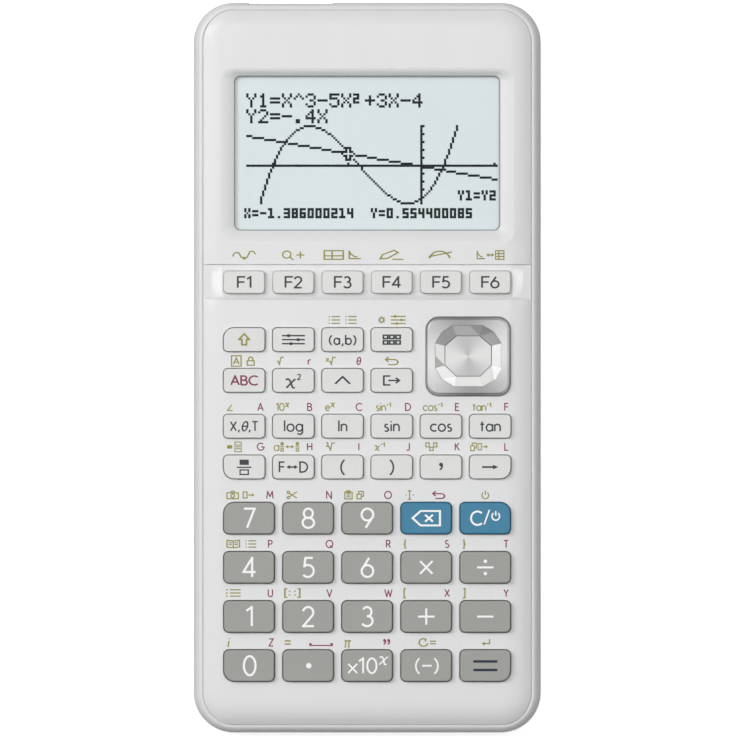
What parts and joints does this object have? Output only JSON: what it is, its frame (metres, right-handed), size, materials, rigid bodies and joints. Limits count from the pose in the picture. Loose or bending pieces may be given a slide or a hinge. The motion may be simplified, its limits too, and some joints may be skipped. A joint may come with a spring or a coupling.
{
  "type": "graphing calculator",
  "caption": "Handheld graphing calculator with a dot-matrix display, a full keyboard of separate sprung keys, a tilting cursor pad, a sliding battery cover and end sockets.",
  "frame": {"origin": "centre of the back face, on the surface the calculator lies on", "axes": "+Z out of the keys, +Y towards the display end, +X to the right when reading the display"},
  "size_m": [0.0834, 0.1756, 0.0185],
  "materials": {
    "shell_white": "satin white moulding",
    "window_clear": "clear polished acrylic",
    "lcd_glass": "pale blue-grey liquid crystal display",
    "board_green": "green solder mask",
    "rubber_grey": "matt silicone rubber",
    "cell_can": "printed film over a metal can",
    "contact_steel": "nickel plate",
    "screw_steel": "zinc plate",
    "socket_steel": "bright tin plate",
    "button_dark": "dark grey moulding",
    "pivot_steel": "plain steel",
    "pad_silver": "spun and brushed silver",
    "key_white": "off-white moulding, semi-gloss",
    "key_grey": "warm grey moulding, semi-gloss",
    "key_blue": "blue moulding, semi-gloss",
    "ink_dark": "printed dark grey legend",
    "ink_white": "printed white legend",
    "ink_yellow": "printed ochre legend",
    "ink_magenta": "printed magenta legend",
    "lcd_dots": "dark liquid crystal segments"
  },
  "bodies": {
    "body": {"front_casing": "shell_white", "display_window": "window_clear", "lcd_module": "lcd_glass", "circuit_board": "board_green", "dome_sheet": "rubber_grey", "rear_casing": "shell_white", "batteries": "cell_can", "battery_contacts": "contact_steel", "casing_screws": "screw_steel", "connector_sockets": "socket_steel"},
    "battery_cover": {"battery_cover": "shell_white"},
    "reset_button": {"reset_button": "button_dark"},
    "cursor_pivot": {"cursor_pivot": "pivot_steel"},
    "cursor_pad": {"cursor_pad": "pad_silver"},
    "key_f1": {"key_f1": "key_white"},
    "key_f2": {"key_f2": "key_white"},
    "key_f3": {"key_f3": "key_white"},
    "key_f4": {"key_f4": "key_white"},
    "key_f5": {"key_f5": "key_white"},
    "key_f6": {"key_f6": "key_white"},
    "key_shift": {"key_shift": "key_white"},
    "key_options": {"key_options": "key_white"},
    "key_variables": {"key_variables": "key_white"},
    "key_menu": {"key_menu": "key_white"},
    "key_alpha": {"key_alpha": "key_white"},
    "key_square": {"key_square": "key_white"},
    "key_power": {"key_power": "key_white"},
    "key_exit": {"key_exit": "key_white"},
    "key_x_theta": {"key_x_theta": "key_white"},
    "key_log": {"key_log": "key_white"},
    "key_ln": {"key_ln": "key_white"},
    "key_sin": {"key_sin": "key_white"},
    "key_cos": {"key_cos": "key_white"},
    "key_tan": {"key_tan": "key_white"},
    "key_fraction": {"key_fraction": "key_white"},
    "key_convert": {"key_convert": "key_white"},
    "key_open_bracket": {"key_open_bracket": "key_white"},
    "key_close_bracket": {"key_close_bracket": "key_white"},
    "key_comma": {"key_comma": "key_white"},
    "key_store": {"key_store": "key_white"},
    "key_7": {"key_7": "key_grey"},
    "key_8": {"key_8": "key_grey"},
    "key_9": {"key_9": "key_grey"},
    "key_delete": {"key_delete": "key_blue"},
    "key_on_clear": {"key_on_clear": "key_blue"},
    "key_4": {"key_4": "key_grey"},
    "key_5": {"key_5": "key_grey"},
    "key_6": {"key_6": "key_grey"},
    "key_multiply": {"key_multiply": "key_grey"},
    "key_divide": {"key_divide": "key_grey"},
    "key_1": {"key_1": "key_grey"},
    "key_2": {"key_2": "key_grey"},
    "key_3": {"key_3": "key_grey"},
    "key_plus": {"key_plus": "key_grey"},
    "key_minus": {"key_minus": "key_grey"},
    "key_0": {"key_0": "key_grey"},
    "key_point": {"key_point": "key_grey"},
    "key_exponent": {"key_exponent": "key_grey"},
    "key_negative": {"key_negative": "key_grey"},
    "key_enter": {"key_enter": "key_grey"}
  },
  "joints": [
    {"name": "battery_cover_slide", "type": "slide", "parent": "body", "child": "battery_cover", "axis": [0, -1, 0], "range_m": [0, 0.068]},
    {"name": "cursor_tilt_x", "type": "hinge", "parent": "body", "child": "cursor_pivot", "pos_m": [0.02425, 0.00267, 0.015], "axis": [1, 0, 0], "range_deg": [-2, 2]},
    {"name": "cursor_tilt_y", "type": "hinge", "parent": "cursor_pivot", "child": "cursor_pad", "pos_m": [0.02425, 0.00267, 0.015], "axis": [0, 1, 0], "range_deg": [-2, 2]},
    {"name": "reset_press", "type": "slide", "parent": "body", "child": "reset_button", "axis": [0, 0, 1], "range_m": [0, 0.0005]},
    {"name": "press_f1", "type": "slide", "parent": "body", "child": "key_f1", "axis": [0, 0, -1], "range_m": [0, 0.0009], "deforming": ["dome_sheet"]},
    {"name": "press_f2", "type": "slide", "parent": "body", "child": "key_f2", "axis": [0, 0, -1], "range_m": [0, 0.0009], "deforming": ["dome_sheet"]},
    {"name": "press_f3", "type": "slide", "parent": "body", "child": "key_f3", "axis": [0, 0, -1], "range_m": [0, 0.0009], "deforming": ["dome_sheet"]},
    {"name": "press_f4", "type": "slide", "parent": "body", "child": "key_f4", "axis": [0, 0, -1], "range_m": [0, 0.0009], "deforming": ["dome_sheet"]},
    {"name": "press_f5", "type": "slide", "parent": "body", "child": "key_f5", "axis": [0, 0, -1], "range_m": [0, 0.0009], "deforming": ["dome_sheet"]},
    {"name": "press_f6", "type": "slide", "parent": "body", "child": "key_f6", "axis": [0, 0, -1], "range_m": [0, 0.0009], "deforming": ["dome_sheet"]},
    {"name": "press_shift", "type": "slide", "parent": "body", "child": "key_shift", "axis": [0, 0, -1], "range_m": [0, 0.0009], "deforming": ["dome_sheet"]},
    {"name": "press_options", "type": "slide", "parent": "body", "child": "key_options", "axis": [0, 0, -1], "range_m": [0, 0.0009], "deforming": ["dome_sheet"]},
    {"name": "press_variables", "type": "slide", "parent": "body", "child": "key_variables", "axis": [0, 0, -1], "range_m": [0, 0.0009], "deforming": ["dome_sheet"]},
    {"name": "press_menu", "type": "slide", "parent": "body", "child": "key_menu", "axis": [0, 0, -1], "range_m": [0, 0.0009], "deforming": ["dome_sheet"]},
    {"name": "press_alpha", "type": "slide", "parent": "body", "child": "key_alpha", "axis": [0, 0, -1], "range_m": [0, 0.0009], "deforming": ["dome_sheet"]},
    {"name": "press_square", "type": "slide", "parent": "body", "child": "key_square", "axis": [0, 0, -1], "range_m": [0, 0.0009], "deforming": ["dome_sheet"]},
    {"name": "press_power", "type": "slide", "parent": "body", "child": "key_power", "axis": [0, 0, -1], "range_m": [0, 0.0009], "deforming": ["dome_sheet"]},
    {"name": "press_exit", "type": "slide", "parent": "body", "child": "key_exit", "axis": [0, 0, -1], "range_m": [0, 0.0009], "deforming": ["dome_sheet"]},
    {"name": "press_x_theta", "type": "slide", "parent": "body", "child": "key_x_theta", "axis": [0, 0, -1], "range_m": [0, 0.0009], "deforming": ["dome_sheet"]},
    {"name": "press_log", "type": "slide", "parent": "body", "child": "key_log", "axis": [0, 0, -1], "range_m": [0, 0.0009], "deforming": ["dome_sheet"]},
    {"name": "press_ln", "type": "slide", "parent": "body", "child": "key_ln", "axis": [0, 0, -1], "range_m": [0, 0.0009], "deforming": ["dome_sheet"]},
    {"name": "press_sin", "type": "slide", "parent": "body", "child": "key_sin", "axis": [0, 0, -1], "range_m": [0, 0.0009], "deforming": ["dome_sheet"]},
    {"name": "press_cos", "type": "slide", "parent": "body", "child": "key_cos", "axis": [0, 0, -1], "range_m": [0, 0.0009], "deforming": ["dome_sheet"]},
    {"name": "press_tan", "type": "slide", "parent": "body", "child": "key_tan", "axis": [0, 0, -1], "range_m": [0, 0.0009], "deforming": ["dome_sheet"]},
    {"name": "press_fraction", "type": "slide", "parent": "body", "child": "key_fraction", "axis": [0, 0, -1], "range_m": [0, 0.0009], "deforming": ["dome_sheet"]},
    {"name": "press_convert", "type": "slide", "parent": "body", "child": "key_convert", "axis": [0, 0, -1], "range_m": [0, 0.0009], "deforming": ["dome_sheet"]},
    {"name": "press_open_bracket", "type": "slide", "parent": "body", "child": "key_open_bracket", "axis": [0, 0, -1], "range_m": [0, 0.0009], "deforming": ["dome_sheet"]},
    {"name": "press_close_bracket", "type": "slide", "parent": "body", "child": "key_close_bracket", "axis": [0, 0, -1], "range_m": [0, 0.0009], "deforming": ["dome_sheet"]},
    {"name": "press_comma", "type": "slide", "parent": "body", "child": "key_comma", "axis": [0, 0, -1], "range_m": [0, 0.0009], "deforming": ["dome_sheet"]},
    {"name": "press_store", "type": "slide", "parent": "body", "child": "key_store", "axis": [0, 0, -1], "range_m": [0, 0.0009], "deforming": ["dome_sheet"]},
    {"name": "press_7", "type": "slide", "parent": "body", "child": "key_7", "axis": [0, 0, -1], "range_m": [0, 0.0009], "deforming": ["dome_sheet"]},
    {"name": "press_8", "type": "slide", "parent": "body", "child": "key_8", "axis": [0, 0, -1], "range_m": [0, 0.0009], "deforming": ["dome_sheet"]},
    {"name": "press_9", "type": "slide", "parent": "body", "child": "key_9", "axis": [0, 0, -1], "range_m": [0, 0.0009], "deforming": ["dome_sheet"]},
    {"name": "press_delete", "type": "slide", "parent": "body", "child": "key_delete", "axis": [0, 0, -1], "range_m": [0, 0.0009], "deforming": ["dome_sheet"]},
    {"name": "press_on_clear", "type": "slide", "parent": "body", "child": "key_on_clear", "axis": [0, 0, -1], "range_m": [0, 0.0009], "deforming": ["dome_sheet"]},
    {"name": "press_4", "type": "slide", "parent": "body", "child": "key_4", "axis": [0, 0, -1], "range_m": [0, 0.0009], "deforming": ["dome_sheet"]},
    {"name": "press_5", "type": "slide", "parent": "body", "child": "key_5", "axis": [0, 0, -1], "range_m": [0, 0.0009], "deforming": ["dome_sheet"]},
    {"name": "press_6", "type": "slide", "parent": "body", "child": "key_6", "axis": [0, 0, -1], "range_m": [0, 0.0009], "deforming": ["dome_sheet"]},
    {"name": "press_multiply", "type": "slide", "parent": "body", "child": "key_multiply", "axis": [0, 0, -1], "range_m": [0, 0.0009], "deforming": ["dome_sheet"]},
    {"name": "press_divide", "type": "slide", "parent": "body", "child": "key_divide", "axis": [0, 0, -1], "range_m": [0, 0.0009], "deforming": ["dome_sheet"]},
    {"name": "press_1", "type": "slide", "parent": "body", "child": "key_1", "axis": [0, 0, -1], "range_m": [0, 0.0009], "deforming": ["dome_sheet"]},
    {"name": "press_2", "type": "slide", "parent": "body", "child": "key_2", "axis": [0, 0, -1], "range_m": [0, 0.0009], "deforming": ["dome_sheet"]},
    {"name": "press_3", "type": "slide", "parent": "body", "child": "key_3", "axis": [0, 0, -1], "range_m": [0, 0.0009], "deforming": ["dome_sheet"]},
    {"name": "press_plus", "type": "slide", "parent": "body", "child": "key_plus", "axis": [0, 0, -1], "range_m": [0, 0.0009], "deforming": ["dome_sheet"]},
    {"name": "press_minus", "type": "slide", "parent": "body", "child": "key_minus", "axis": [0, 0, -1], "range_m": [0, 0.0009], "deforming": ["dome_sheet"]},
    {"name": "press_0", "type": "slide", "parent": "body", "child": "key_0", "axis": [0, 0, -1], "range_m": [0, 0.0009], "deforming": ["dome_sheet"]},
    {"name": "press_point", "type": "slide", "parent": "body", "child": "key_point", "axis": [0, 0, -1], "range_m": [0, 0.0009], "deforming": ["dome_sheet"]},
    {"name": "press_exponent", "type": "slide", "parent": "body", "child": "key_exponent", "axis": [0, 0, -1], "range_m": [0, 0.0009], "deforming": ["dome_sheet"]},
    {"name": "press_negative", "type": "slide", "parent": "body", "child": "key_negative", "axis": [0, 0, -1], "range_m": [0, 0.0009], "deforming": ["dome_sheet"]},
    {"name": "press_enter", "type": "slide", "parent": "body", "child": "key_enter", "axis": [0, 0, -1], "range_m": [0, 0.0009], "deforming": ["dome_sheet"]}
  ]
}
